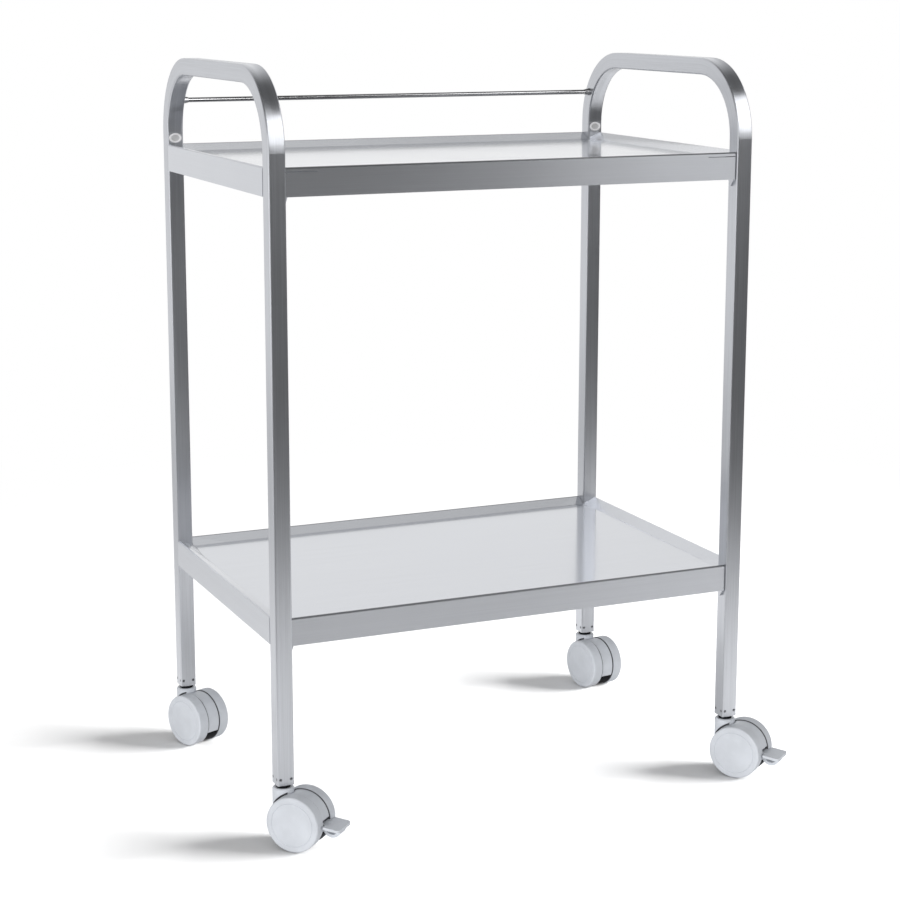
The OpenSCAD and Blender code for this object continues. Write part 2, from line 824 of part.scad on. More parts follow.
castor_socket(front_right);  // front_right_socket
castor_stem(front_right);  // front_right_stem
castor_washer(front_right);  // front_right_washer
castor_hood(front_right);  // front_right_hood
castor_core(front_right);  // front_right_core
castor_axle(front_right);  // front_right_axle
castor_wheel(front_right, 1);  // front_right_wheel_l
castor_tyre(front_right, 1);  // front_right_tyre_l
castor_wheel(front_right, -1);  // front_right_wheel_r
castor_tyre(front_right, -1);  // front_right_tyre_r
brake_pedal(front_right);  // front_right_pedal
pedal_pin(front_right);  // front_right_pedal_pin

castor_socket(rear_left);  // rear_left_socket
castor_stem(rear_left);  // rear_left_stem
castor_washer(rear_left);  // rear_left_washer
castor_hood(rear_left);  // rear_left_hood
castor_core(rear_left);  // rear_left_core
castor_axle(rear_left);  // rear_left_axle
castor_wheel(rear_left, 1);  // rear_left_wheel_l
castor_tyre(rear_left, 1);  // rear_left_tyre_l
castor_wheel(rear_left, -1);  // rear_left_wheel_r
castor_tyre(rear_left, -1);  // rear_left_tyre_r

castor_socket(rear_right);  // rear_right_socket
castor_stem(rear_right);  // rear_right_stem
castor_washer(rear_right);  // rear_right_washer
castor_hood(rear_right);  // rear_right_hood
castor_core(rear_right);  // rear_right_core
castor_axle(rear_right);  // rear_right_axle
castor_wheel(rear_right, 1);  // rear_right_wheel_l
castor_tyre(rear_right, 1);  // rear_right_tyre_l
castor_wheel(rear_right, -1);  // rear_right_wheel_r
castor_tyre(rear_right, -1);  // rear_right_tyre_r
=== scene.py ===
import json
import math

import bmesh
import bpy
from mathutils import Matrix, Vector


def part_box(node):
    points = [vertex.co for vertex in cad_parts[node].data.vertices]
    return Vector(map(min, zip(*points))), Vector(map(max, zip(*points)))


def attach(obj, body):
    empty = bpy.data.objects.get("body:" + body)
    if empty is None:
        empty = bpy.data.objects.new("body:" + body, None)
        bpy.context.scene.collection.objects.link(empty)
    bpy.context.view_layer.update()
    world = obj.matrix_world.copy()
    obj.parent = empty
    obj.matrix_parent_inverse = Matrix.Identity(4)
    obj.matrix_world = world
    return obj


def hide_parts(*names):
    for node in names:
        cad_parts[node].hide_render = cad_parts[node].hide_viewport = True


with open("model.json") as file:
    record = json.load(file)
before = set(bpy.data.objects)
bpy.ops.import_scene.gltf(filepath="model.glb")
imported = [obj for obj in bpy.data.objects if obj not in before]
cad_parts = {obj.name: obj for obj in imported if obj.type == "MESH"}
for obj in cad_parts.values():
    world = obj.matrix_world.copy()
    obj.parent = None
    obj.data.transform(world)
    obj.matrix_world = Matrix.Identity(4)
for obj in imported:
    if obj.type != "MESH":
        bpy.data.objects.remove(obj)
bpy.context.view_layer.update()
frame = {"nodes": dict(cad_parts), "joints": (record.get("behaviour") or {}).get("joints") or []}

bl_info = {
    "name": "Instrument Cart",
    "version": (1, 0, 0),
    "blender": (4, 5, 0),
    "location": "3D View > Sidebar > Cart",
    "description": "Finishes the instrument cart: frames, trays, castors, brake pedals and the studio",
    "category": "Object",
}

NODES = frame["nodes"]
CORNERS = ("front_left", "front_right", "rear_left", "rear_right")
BRAKED_CORNERS = ("front_left", "front_right")
WHEEL_SIDES = ("l", "r")
JOINTS = {joint["name"]: joint for joint in frame["joints"]}

# Brush marks: repeats per metre across and along the grain, and what they change
FINE_MARKS = (1400.0, 9.0)
COARSE_MARKS = (260.0, 2.5)
WEAR_CLOUDS = 9.0
FINE_SHARE = 0.6
MARK_ROUGHNESS = 0.1
WEAR_ROUGHNESS = 0.06
TONE_BAND = (0.3, 0.7)
SHEET_TONES = (0.97, 1.02)
TUBE_TONES = (0.9, 1.05)
SHEET_SPREAD = 0.9
TUBE_SPREAD = 0.7
QUARTER_TURN = 0.25

# Tray sheet: bands of its aprons, walls and folded rims in metres, how the walls shine, and the share of the
# painted shade along the rim folds
EDGE_BAND = 0.0012
FLOOR_SKIN = 0.0003
WALL_ROLL = 0.9
WALL_SMOOTH = 0.16
FOLD_OUTSIDE = (-0.0022, -0.0012)
FOLD_INSIDE = (-0.0007, -0.0003)
FOLD_REACH = 0.006
FOLD_SHADE = 0.42

# Crimp dimples of the legs: where the painted shade in them fades, in metres, and its share of the steel's
# colour
DIMPLE_EDGE = (0.0011, 0.0021)
DIMPLE_SHADE = 0.25

# Polished metal: repeats per metre and shade of its smears, its roughness and what a smear adds
SMEARS = 160.0
SMEAR_SHADE = 0.94
SMEAR_ROUGHNESS = (0.08, 0.12)

# Mouldings: roughness, strength of the skin's relief and gloss
HARD_PLASTIC = (0.42, 0.1, 0.5)
SOFT_PLASTIC = (0.6, 0.2, 0.5)
DARK_PLASTIC = (0.6, 0.1, 0.05)
MOULD_TONES = (0.95, 1.03)
MOULD_CLOUDS = 45.0
MOULD_SKIN = 1800.0
SKIN_DEPTH = 0.0001
CLOUD_ROUGHNESS = 0.12

# Bands of painted shade in the gaps beside the castors' tyres, in metres
FLANK_EDGE = 0.0002
NECK_FOOT = (0.0344, 0.0349)
TYRE_EDGE_BAND = (0.0001, 0.0009)

# A leg plug's section from the middle of its base to the middle of its dish,
# in shares of half its width and of its thickness
PLUG_SECTION = (
    (0.0, 0.0), (1.0, 0.0), (1.0, 0.28), (0.965, 0.61), (0.894, 0.89), (0.81, 1.0),
    (0.72, 0.94), (0.635, 0.72), (0.54, 0.53), (0.29, 0.44), (0.0, 0.44),
)
PLUG_STEPS = 48
PLUG_METAL = 0.15
# Painted shade in the plugs' dishes and at the foot of their rings: the heights, in shares of the thickness,
# over which it fades out, and its share of the plug's colour
PLUG_DISH = (0.5, 0.85)
PLUG_SHADE = 0.62
PLUGS = "dished_leg_plugs"

# Studio floor: distances in metres, brightness and painted shade under the cart in reflections
FLOOR_RADIUS = 9.0
FLOOR_FADE = (0.5, 1.9)
FLOOR_GLOW = 0.05
FLOOR_SHEEN = 0.3
FLOOR_RING = (2.0, 3.5)
FLOOR_SLANT = 0.6
FLOOR_BACK = (-0.3, 0.5)
FLOOR_FAR = (0.72, 0.28)
FLOOR_BOUNCE = 0.5
MIRROR_LOSS = 0.25
UNDER_LOSS = 0.28
UNDER_X = (0.25, 0.6)
UNDER_Y = (0.15, 0.45)

# Room in reflections: brightness, and the share of the view direction over which it changes
ROOM_DARK = 0.12
ROOM_FADE = (0.12, 0.92)
FRONT_GLOW = 0.5
FRONT_RISE = (0.1, 0.32)
FRONT_TOP = (0.6, 0.85)
FRONT_END = (0.05, 0.3)
SIDE_GLOW = 0.3
SIDE_FADE = (0.62, 0.95)
SKY_FILL = 0.45

WHITE = (1.0, 1.0, 1.0, 1.0)
DARK = (0.0, 0.0, 0.0, 1.0)

# Shading


class Flow:
    """One socket of a shader tree. Arithmetic on it adds Math nodes to the same tree."""

    def __init__(self, tree, socket=None):
        self.tree = tree
        self.socket = socket

    def node(self, kind, settings=None, sockets=None, out=0):
        """Adds a node of that type, with its settings first and then its sockets' values or links."""
        made = self.tree.nodes.new(kind)
        for name, value in (settings or {}).items():
            setattr(made, name, value)
        for name, value in (sockets or {}).items():
            if isinstance(value, Flow):
                self.tree.links.new(value.socket, made.inputs[name])
            else:
                made.inputs[name].default_value = value
        return Flow(self.tree, made.outputs[out])

    def out(self, name):
        return Flow(self.tree, self.socket.node.outputs[name])

    def math(self, operation, *values):
        return self.node("ShaderNodeMath", {"operation": operation}, dict(enumerate(values)))

    def __add__(self, other):
        return self.math("ADD", self, other)

    def __radd__(self, other):
        return self.math("ADD", other, self)

    def __sub__(self, other):
        return self.math("SUBTRACT", self, other)

    def __rsub__(self, other):
        return self.math("SUBTRACT", other, self)

    def __mul__(self, other):
        return self.math("MULTIPLY", self, other)

    def __rmul__(self, other):
        return self.math("MULTIPLY", other, self)

    def __truediv__(self, other):
        return self.math("DIVIDE", self, other)

    def above(self, limit):
        return self.math("GREATER_THAN", self, limit)

    def at_least(self, low):
        return self.math("MAXIMUM", self, low)

    def at_most(self, high):
        return self.math("MINIMUM", self, high)

    def size(self):
        return self.math("ABSOLUTE", self)

    def ease(self, low, high):
        """0 below low, 1 above high and a smooth step between them."""
        return self.node(
            "ShaderNodeMapRange",
            {"interpolation_type": "SMOOTHSTEP"},
            {"Value": self, "From Min": low, "From Max": high},
        )

    def point(self, x, y, z):
        return self.node("ShaderNodeCombineXYZ", None, {0: x, 1: y, 2: z})

    def noise(self, place, scale=1.0, detail=2.0):
        return self.node("ShaderNodeTexNoise", None, {"Vector": place, "Scale": scale, "Detail": detail})

    def tint(self, factor, first, second):
        """A colour between two colours."""
        return self.node("ShaderNodeMix", {"data_type": "RGBA"}, {0: factor, 6: first, 7: second}, 2)

    def vector(self, operation, *values, out=0):
        return self.node("ShaderNodeVectorMath", {"operation": operation}, dict(enumerate(values)), out)

    def length(self, first, second):
        """Length of the hypotenuse over two sides."""
        return self.math("SQRT", first * first + second * second)


def new_material(name):
    """A material with one Principled shader; returns it, the shader and a start for its Flow."""
    made = bpy.data.materials.new(name)
    made.use_nodes = True
    tree = made.node_tree
    tree.nodes.clear()
    shader = tree.nodes.new("ShaderNodeBsdfPrincipled")
    output = tree.nodes.new("ShaderNodeOutputMaterial")
    tree.links.new(shader.outputs[0], output.inputs[0])
    return made, shader, Flow(tree)


def own_place(start):
    """The point in the piece's own space."""
    return start.node("ShaderNodeTexCoord", None, None, "Object")


def place_axes(start):
    """X, Y and Z of the point in the piece's own space."""
    split = start.node("ShaderNodeSeparateXYZ", None, {0: own_place(start)})
    return split, split.out("Y"), split.out("Z")


def feed(shader, **sockets):
    """Sets a shader's constants and links its varying inputs; underscores stand for spaces."""
    tree = shader.id_data
    for name, value in sockets.items():
        socket = shader.inputs[name.replace("_", " ")]
        if isinstance(value, Flow):
            tree.links.new(value.socket, socket)
        else:
            socket.default_value = value


def rgba(colour, share=1.0):
    return (colour[0] * share, colour[1] * share, colour[2] * share, 1.0)


def base_colour(shader):
    """The colour that feeds a shader so far."""
    return Flow(shader.id_data, shader.inputs["Base Color"].links[0].from_socket)


def grain_finish(start, shader, across_a, across_b, along, steel, rough, relief, tones=SHEET_TONES, **bump):
    """Brushed steel: fine and coarse scratches along the grain, with faint clouds of wear.

    The scratches are cut to the relief, in metres, so they spread a reflection across the grain only.
    """

    def marks(across, length, detail):
        return start.noise(start.point(across_a * across, across_b * across, along * length), 1.0, detail)

    fine = marks(*FINE_MARKS, 3.0)
    coarse = marks(*COARSE_MARKS, 2.0)
    cloud = start.noise(start.point(across_a, across_b, along), WEAR_CLOUDS, 2.0)
    streak = fine * FINE_SHARE + coarse * (1 - FINE_SHARE)
    cuts = {"Strength": 1.0, "Distance": 1.0, "Height": streak * relief, **bump}
    feed(
        shader,
        Base_Color=start.tint(streak.ease(*TONE_BAND), *(rgba(steel, tone) for tone in tones)),
        Roughness=rough + (streak - 0.5) * MARK_ROUGHNESS + (cloud - 0.5) * WEAR_ROUGHNESS,
        Metallic=1.0,
        Normal=start.node("ShaderNodeBump", None, cuts),
    )


def tube_steel(colours, sizes):
    """Brushed tube whose grain runs up the legs, round the bends and along the handle bar, with painted shade
    in the crimp dimples.
    """
    made, shader, start = new_material("brushed_tube")
    x, y, z = place_axes(start)
    low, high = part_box("left_end_frame")
    middle = (low.y + high.y) / 2
    bend_y = (high.y - low.y) / 2 - sizes.bend_radius
    bend_z = high.z - sizes.bend_radius
    out_y = (y - middle).size() - bend_y
    up_z = z - bend_z
    side_y = out_y.at_least(0.0)
    side_z = up_z.at_least(0.0)
    across = start.length(side_y, side_z)
    turn = start.math("ARCTAN2", side_z, side_y.at_least(0.00001)) * sizes.bend_radius
    along = up_z.at_most(0.0) + turn - out_y.at_most(0.0)
    grain_finish(
        start, shader, x, across, along, colours.steel, sizes.tube_roughness, sizes.tube_scratches, TUBE_TONES
    )
    far_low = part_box("right_end_frame")[0]
    side = high.x - low.x
    leg_x = (far_low.x - low.x) / 2
    leg_y = (high.y - low.y - side) / 2
    on_x = ((x - (far_low.x + high.x) / 2).size() - leg_x).size() - sizes.dimple_spread
    on_y = ((y - middle).size() - leg_y).size() - sizes.dimple_spread
    rise = z - sizes.dimple_height
    nearest = start.math("SQRT", (on_x * on_x).at_most(on_y * on_y) + rise * rise)
    # Painted shade in the crimp dimples
    dimple_painted_shade = 1 - nearest.ease(*DIMPLE_EDGE)
    dark = rgba(colours.steel, DIMPLE_SHADE)
    feed(shader, Anisotropic=TUBE_SPREAD, Base_Color=start.tint(dimple_painted_shade, base_colour(shader), dark))
    return made


def sheet_steel(colours, sizes, tray):
    """Brushed sheet of one tray, with the grain along its aprons and walls, a near bright floor and painted
    shade along the rim folds.
    """
    made, shader, start = new_material(f"{tray}_sheet")
    x, y, z = place_axes(start)
    low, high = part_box(tray)
    middle = (low + high) / 2
    half = (high - low) / 2
    on_end = (x - middle.x).size().above(half.x - EDGE_BAND)
    on_side = (y - middle.y).size().above(half.y - EDGE_BAND)
    on_wall = z.above(high.z - sizes.tray_depth + FLOOR_SKIN)
    brushed = on_end.at_least(on_side).at_least(on_wall)
    across = y * (1 - on_end) + x * on_end
    along = x * (1 - on_end) + y * on_end
    grain = (across, z, along, colours.steel)
    grain_finish(start, shader, *grain, sizes.floor_roughness, sizes.floor_scratches)
    tree = made.node_tree
    apron = tree.nodes.new("ShaderNodeBsdfPrincipled")
    facing = start.node("ShaderNodeNewGeometry", None, None, "Normal")
    slope = (on_wall - on_end - on_side).at_least(0.0)
    raised = start.point(0.0, 0.0, slope * WALL_ROLL)
    rolled = start.vector("NORMALIZE", start.vector("ADD", facing, raised))
    rough = sizes.sheet_roughness - slope * WALL_SMOOTH
    grain_finish(start, apron, *grain, rough, sizes.apron_scratches, Normal=rolled)
    feed(apron, Anisotropic=SHEET_SPREAD, Anisotropic_Rotation=QUARTER_TURN)
    # Painted shade in a band along the rim folds of the front and rear aprons
    below_rim = z - high.z
    rim_fold_shade = below_rim.ease(*FOLD_OUTSIDE) * (1 - slope) + below_rim.ease(*FOLD_INSIDE) * slope
    rim_fold_shade = rim_fold_shade * (y - middle.y).size().above(half.y - FOLD_REACH)
    feed(apron, Base_Color=start.tint(rim_fold_shade, base_colour(apron), rgba(colours.steel, FOLD_SHADE)))
    both = {0: brushed, 1: Flow(tree, shader.outputs[0]), 2: Flow(tree, apron.outputs[0])}
    mixed = start.node("ShaderNodeMixShader", None, both)
    tree.links.new(mixed.socket, tree.get_output_node("ALL").inputs[0])
    return made


def polished(name, colour, metal):
    """Polished metal with faint smears; returns the material, its shader and a start for its Flow."""
    made, shader, start = new_material(name)
    smear = start.noise(own_place(start), SMEARS, 3.0)
    feed(
        shader,
        Base_Color=start.tint(smear, rgba(colour, SMEAR_SHADE), rgba(colour)),
        Roughness=SMEAR_ROUGHNESS[0] + smear * SMEAR_ROUGHNESS[1],
        Metallic=metal,
    )
    return made, shader, start


def plug_finish(colours, sizes):
    """Bright plating of the leg plugs, with painted shade in the dish and at the foot of the ring."""
    made, shader, start = polished("bright_plug", colours.plug, PLUG_METAL)
    y = place_axes(start)[1]
    low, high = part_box("leg_plugs")
    rise = (y - low.y).size().at_most((y - high.y).size())
    # Painted shade in the dish and at the foot of the ring
    dish_shade = 1 - (rise / sizes.plug_thickness).ease(*PLUG_DISH)
    feed(shader, Base_Color=start.tint(dish_shade, base_colour(shader), rgba(colours.plug, PLUG_SHADE)))
    return made


def moulding(name, colour, rough, dimple, gloss):
    """Moulded plastic with a fine spark-eroded skin and slightly uneven colour."""
    made, shader, start = new_material(name)
    place = own_place(start)
    cloud = start.noise(place, MOULD_CLOUDS, 3.0)
    skin = start.noise(place, MOULD_SKIN, 2.0)
    relief = {"Strength": dimple, "Distance": SKIN_DEPTH, "Height": skin}
    feed(
        shader,
        Base_Color=start.tint(cloud.ease(*TONE_BAND), *(rgba(colour, tone) for tone in MOULD_TONES)),
        Roughness=rough + (cloud - 0.5) * CLOUD_ROUGHNESS,
        Specular_IOR_Level=gloss,
        Normal=start.node("ShaderNodeBump", None, relief),
    )
    return made, shader, start


def from_axle(start, corner):
    """Distances of the point from a castor's middle plane and from the line of its axle."""
    axle = JOINTS[f"{corner}_roll_l"]
    offset = start.vector("SUBTRACT", own_place(start), axle["pos_m"])
    sideways = start.vector("DOT_PRODUCT", offset, axle["axis"], out="Value")
    reach = start.vector("LENGTH", offset, out="Value")
    return sideways.size(), start.math("SQRT", (reach * reach - sideways * sideways).at_least(0.0))


def hood_plastic(colours, sizes, corner):
    """Grey of a hood, with painted shade on the flanks beside the tyres and under the neck."""
    made, shader, start = moulding(f"{corner}_hood_grey", colours.castor, *HARD_PLASTIC)
    sideways, outward = from_axle(start, corner)
    # Painted shade on the flanks beside the tyres, near the neck's foot
    flank = sideways.ease(sizes.hood_flank - FLANK_EDGE, sizes.hood_flank)
    gap_shade_mask = flank * (1 - outward.ease(*NECK_FOOT))
    feed(shader, Base_Color=start.tint(gap_shade_mask, base_colour(shader), rgba(colours.gap)))
    return made


def tyre_plastic(colours, sizes, corner):
    """Grey of the two tyres of a castor, with painted shade on the inner edges beside the hood."""
    made, shader, start = moulding(f"{corner}_tyre_grey", colours.tyre, *SOFT_PLASTIC)
    beyond = from_axle(start, corner)[0] - sizes.tyre_edge
    # Painted shade on the tyres' inner edges beside the hood
    gap_shade_mask = 1 - beyond.ease(*TYRE_EDGE_BAND)
    feed(shader, Base_Color=start.tint(gap_shade_mask, base_colour(shader), rgba(colours.gap)))
    return made


def dress(node, material):
    """Gives a CAD node's object its material."""
    slots = NODES[node].data.materials
    slots.clear()
    slots.append(material)


# Settings


def colour_setting(name, description, default):
    return bpy.props.FloatVectorProperty(name=name, description=description, subtype="COLOR", default=default)


def length_setting(name, description, default):
    return bpy.props.FloatProperty(name=name, description=description, default=default, unit="LENGTH")


def share_setting(name, description, default):
    return bpy.props.FloatProperty(name=name, description=description, default=default, min=0.0, max=1.0)


class CartColours(bpy.types.PropertyGroup):
    """Colours of the cart's finishes."""

    steel: colour_setting("Steel", "Brushed stainless steel", (0.616, 0.632, 0.668))
    polish: colour_setting("Polish", "Polished stems, axles and pins", (0.82, 0.82, 0.83))
    rod: colour_setting("Rod", "Drawn steel of the guard rod and its ferrules", (0.46, 0.46, 0.47))
    plug: colour_setting("Plug", "Bright leg plugs", (0.95, 0.95, 0.96))
    castor: colour_setting("Castor", "Hoods, wheels and pedals", (0.605, 0.63, 0.672))
    tyre: colour_setting("Tyre", "Soft treads of the wheels", (0.6, 0.624, 0.665))
    black: colour_setting("Black", "Castor cores, washers and sockets", (0.008, 0.008, 0.01))
    # Colour of the painted shade in the gaps between hoods and tyres
    gap: colour_setting("Gap", "Dirt in the gaps between hoods and tyres", (0.07, 0.072, 0.08))
    floor: colour_setting("Floor", "Pale studio floor", (0.9, 0.9, 0.9))


class CartSizes(bpy.types.PropertyGroup):
    """Sizes that shape the finished pieces, and the camera's place."""

    bend_radius: length_setting("Bend radius", "Outside radius of the handle bends", 0.092)
    tube_roughness: share_setting("Tube roughness", "Mean roughness of the tube", 0.31)
    tube_scratches: length_setting("Tube scratches", "Depth of the tube's brush marks", 0.00006)
    sheet_roughness: share_setting("Sheet roughness", "Mean roughness of the aprons", 0.36)
    floor_roughness: share_setting("Floor roughness", "Mean roughness of the tray floors", 0.13)
    tray_depth: length_setting("Tray depth", "Depth of the tray floors below the rims", 0.008)
    apron_scratches: length_setting("Apron scratches", "Depth of the aprons' brush marks", 0.00004)
    floor_scratches: length_setting("Floor scratches", "Depth of the tray floors' brush marks", 0.00001)
    dimple_height: length_setting("Dimple height", "Height of the crimp dimples above the floor", 0.079)
    dimple_spread: length_setting("Dimple spread", "Distance of a dimple from the middle of the leg", 0.0063)
    hood_flank: length_setting("Hood flank", "Half the width of a castor's neck beside the tyres", 0.0083)
    tyre_edge: length_setting("Tyre edge", "Distance of the tyres from a castor's middle plane", 0.0091)
    plug_width: length_setting("Plug width", "Width of the leg plugs across the leg", 0.017)
    plug_height: length_setting("Plug height", "Height of the leg plugs along the leg", 0.0125)
    plug_thickness: length_setting("Plug thickness", "Height of the plugs' rings above the leg", 0.0018)
    lens: bpy.props.FloatProperty(
        name="Lens", description="Focal length of the camera", default=84.19, unit="CAMERA"
    )
    camera_place: bpy.props.FloatVectorProperty(
        name="Camera place", description="Where the camera stands", unit="LENGTH",
        default=(-1.0417, -2.3099, 0.9544),
    )
    camera_turn: bpy.props.FloatVectorProperty(
        name="Camera turn", description="Yaw, pitch and roll of the camera", unit="ROTATION",
        default=(-0.4134, 0.1946, 0.001),
    )
    camera_rise: bpy.props.FloatProperty(
        name="Camera rise", description="Vertical shift of the picture", default=-0.05
    )


# Stage


def look_matrix(place, yaw, pitch, roll):
    """The camera's matrix from where it stands and how it is turned; yaw 0 looks along +Y."""
    ahead = Vector((-math.sin(yaw) * math.cos(pitch), math.cos(yaw) * math.cos(pitch), -math.sin(pitch)))
    right = Vector((math.cos(yaw), math.sin(yaw), 0.0))
    up = right.cross(ahead)
    rolled_right = math.cos(roll) * right + math.sin(roll) * up
    rolled_up = math.cos(roll) * up - math.sin(roll) * right
    turn = Matrix((rolled_right, rolled_up, -ahead)).transposed()
    return Matrix.Translation(Vector(place)) @ turn.to_4x4()


def add_camera(sizes):
    camera = bpy.data.cameras.new("camera")
    camera.sensor_width = 36.0
    camera.lens = sizes.lens
    camera.shift_y = sizes.camera_rise
    camera.clip_start = 0.05
    camera.clip_end = 100.0
    made = bpy.data.objects.new("camera", camera)
    made.matrix_world = look_matrix(sizes.camera_place, *sizes.camera_turn)
    bpy.context.collection.objects.link(made)
    bpy.context.scene.camera = made


def ray_kinds(start):
    """1 for rays from the camera, and 1 for rays from a reflection."""
    path = start.node("ShaderNodeLightPath", None, None, "Is Camera Ray")
    return path, (path.out("Is Glossy Ray") + path.out("Is Transmission Ray")).at_most(1.0)


def add_floor(colours):
    """A pale floor that takes the castors' shadows.

    In reflections it is white behind the cart and dim in front, with painted shade under the cart.
    """
    mesh = bpy.data.meshes.new("floor")
    shape = bmesh.new()
    bmesh.ops.create_circle(shape, cap_ends=True, radius=FLOOR_RADIUS, segments=96)
    shape.to_mesh(mesh)
    shape.free()
    floor = bpy.data.objects.new("floor", mesh)
    bpy.context.collection.objects.link(floor)
    made = bpy.data.materials.new("pale_floor")
    made.use_nodes = True
    tree = made.node_tree
    tree.nodes.clear()
    start = Flow(tree)
    x, y = place_axes(start)[:2]
    reach = start.length(x, y)
    near = 1 - reach.ease(*FLOOR_FADE)
    path, mirror = ray_kinds(start)
    behind = (y - x * FLOOR_SLANT).ease(*FLOOR_BACK)
    far = ROOM_DARK + behind * (FLOOR_FAR[0] - ROOM_DARK + FLOOR_FAR[1] * reach.ease(*FLOOR_RING))
    glow = path * (1 - near + near * FLOOR_GLOW) + mirror * ((1 - near) * far + near * behind * FLOOR_SHEEN)
    bounce = path.out("Is Diffuse Ray")
    # Painted shade on the floor under the cart, seen only in reflections
    under = (1 - x.size().ease(*UNDER_X)) * (1 - y.size().ease(*UNDER_Y))
    pale = near * (1 - mirror * (MIRROR_LOSS + UNDER_LOSS * under) - bounce * FLOOR_BOUNCE)
    matt = start.node("ShaderNodeBsdfDiffuse", None, {"Color": start.tint(pale, DARK, rgba(colours.floor))})
    light = start.node("ShaderNodeEmission", None, {"Color": WHITE, "Strength": glow})
    output = tree.nodes.new("ShaderNodeOutputMaterial")
    tree.links.new(start.node("ShaderNodeAddShader", None, {0: matt, 1: light}).socket, output.inputs[0])
    mesh.materials.append(made)
    return floor


def add_world():
    """White for the camera and even for soft light.

    In reflections it is white behind the cart, dim at the sides and in front on the left, and dark elsewhere.
    """
    world = bpy.data.worlds.new("studio")
    bpy.context.scene.world = world
    world.use_nodes = True
    tree = world.node_tree
    tree.nodes.clear()
    start = Flow(tree)
    path, mirror = ray_kinds(start)
    way = start.node("ShaderNodeTexCoord", None, None, "Generated")
    split = start.node("ShaderNodeSeparateXYZ", None, {0: way})
    across, back, height = split.out("X"), split.out("Y"), split.out("Z")
    front = (0 - back).ease(*ROOM_FADE) * (1 - across.ease(*FRONT_END))
    front = front * height.ease(*FRONT_RISE) * (1 - height.ease(*FRONT_TOP))
    sides = across.size().ease(*SIDE_FADE)
    room = ROOM_DARK + (1 - ROOM_DARK) * back.ease(*ROOM_FADE) + front * FRONT_GLOW + sides * SIDE_GLOW
    strength = path + (1 - path) * (mirror * room + (1 - mirror) * SKY_FILL)
    glow = start.node("ShaderNodeBackground", None, {"Color": WHITE, "Strength": strength})
    output = tree.nodes.new("ShaderNodeOutputWorld")
    tree.links.new(glow.socket, output.inputs[0])


def group(name, objects):
    """A set of objects for a lamp to light or to be stopped by."""
    made = bpy.data.collections.new(name)
    for each in objects:
        made.objects.link(each)
    return made


def add_lamp(name, place, aim, size, power, lit, in_mirrors=True, on_matt=True, blockers=None):
    """A soft box aimed at a point, which may be left out of reflections or of matt surfaces.

    Size is its width and height in metres. Lit and blockers hold the only objects that it lights and
    that throw its shadows.
    """
    lamp = bpy.data.lights.new(name, "AREA")
    lamp.shape = "RECTANGLE"
    lamp.size, lamp.size_y = size
    lamp.energy = power
    made = bpy.data.objects.new(name, lamp)
    made.visible_glossy = in_mirrors
    made.visible_diffuse = on_matt
    made.light_linking.receiver_collection = lit
    made.light_linking.blocker_collection = blockers
    made.location = place
    made.rotation_euler = (Vector(aim) - Vector(place)).to_track_quat("-Z", "Y").to_euler()
    bpy.context.collection.objects.link(made)


class CART_OT_stage(bpy.types.Operator):
    """Adds the camera, the pale floor, the lamps and the world"""

    bl_idname = "cart.stage"
    bl_label = "Stage"

    def execute(self, context):
        add_camera(context.scene.cart_sizes)
        floor = add_floor(context.scene.cart_colours)
        add_world()
        castors = [made for name, made in NODES.items() if name.startswith(CORNERS)]
        bars = ("left_end_frame", "right_end_frame", "guard_rod", "guard_rod_ferrules")
        cart = group("cart_only", [*NODES.values(), bpy.data.objects[PLUGS]])
        trays = group("trays_only", [NODES["top_tray"], NODES["lower_tray"]])
        tubes = group("tubes_only", [NODES[name] for name in bars])
        lower_tray = group("lower_tray_only", [NODES["lower_tray"]])
        add_lamp(
            "floor_lamp", place=(5.2, -2.3, 2.5), aim=(0.0, 0.0, 0.0), size=(3.0, 2.2), power=950.0,
            lit=group("floor_only", [floor]), in_mirrors=False, blockers=group("castor_shadows", castors),
        )
        add_lamp(
            "apron_card", place=(1.83, -2.13, 1.75), aim=(0.1, -0.17, 1.75), size=(1.45, 3.1), power=15.0,
            lit=trays, on_matt=False,
        )
        add_lamp(
            "ceiling_card", place=(0.0, 0.0, 3.4), aim=(0.0, 0.0, 0.7), size=(3.4, 3.4), power=13.0,
            lit=trays, on_matt=False,
        )
        add_lamp(
            "low_card", place=(0.4, -2.2, 1.2), aim=(-0.1, -0.17, 0.25), size=(0.8, 2.0), power=3.0,
            lit=lower_tray, on_matt=False,
        )
        add_lamp(
            "bend_card", place=(1.9, -2.09, 2.1), aim=(0.1, -0.17, 0.75), size=(1.3, 2.5), power=29.0,
            lit=tubes, on_matt=False,
        )
        add_lamp(
            "front_strip", place=(0.5, -2.63, 1.95), aim=(-0.3, -0.19, 0.8), size=(0.5, 2.1), power=13.0,
            lit=tubes, on_matt=False,
        )
        add_lamp(
            "corner_card", place=(-2.95, -2.0, 0.6), aim=(0.0, 0.0, 0.45), size=(5.3, 2.4), power=34.0,
            lit=tubes, on_matt=False,
        )
        add_lamp(
            "fill_lamp", place=(-5.6, -2.7, 1.1), aim=(0.0, 0.0, 0.1), size=(4.0, 1.6), power=225.0,
            lit=cart, in_mirrors=False,
        )
        add_lamp(
            "tread_lamp", place=(1.3, -5.3, 1.1), aim=(0.0, 0.0, 0.1), size=(2.4, 1.6), power=95.0,
            lit=cart, in_mirrors=False,
        )
        add_lamp(
            "rear_lamp", place=(3.4, 4.8, 1.3), aim=(0.0, 0.0, 0.1), size=(4.0, 1.6), power=160.0,
            lit=cart, in_mirrors=False,
        )
        context.scene.view_settings.view_transform = "Standard"
        return {"FINISHED"}


# Pieces


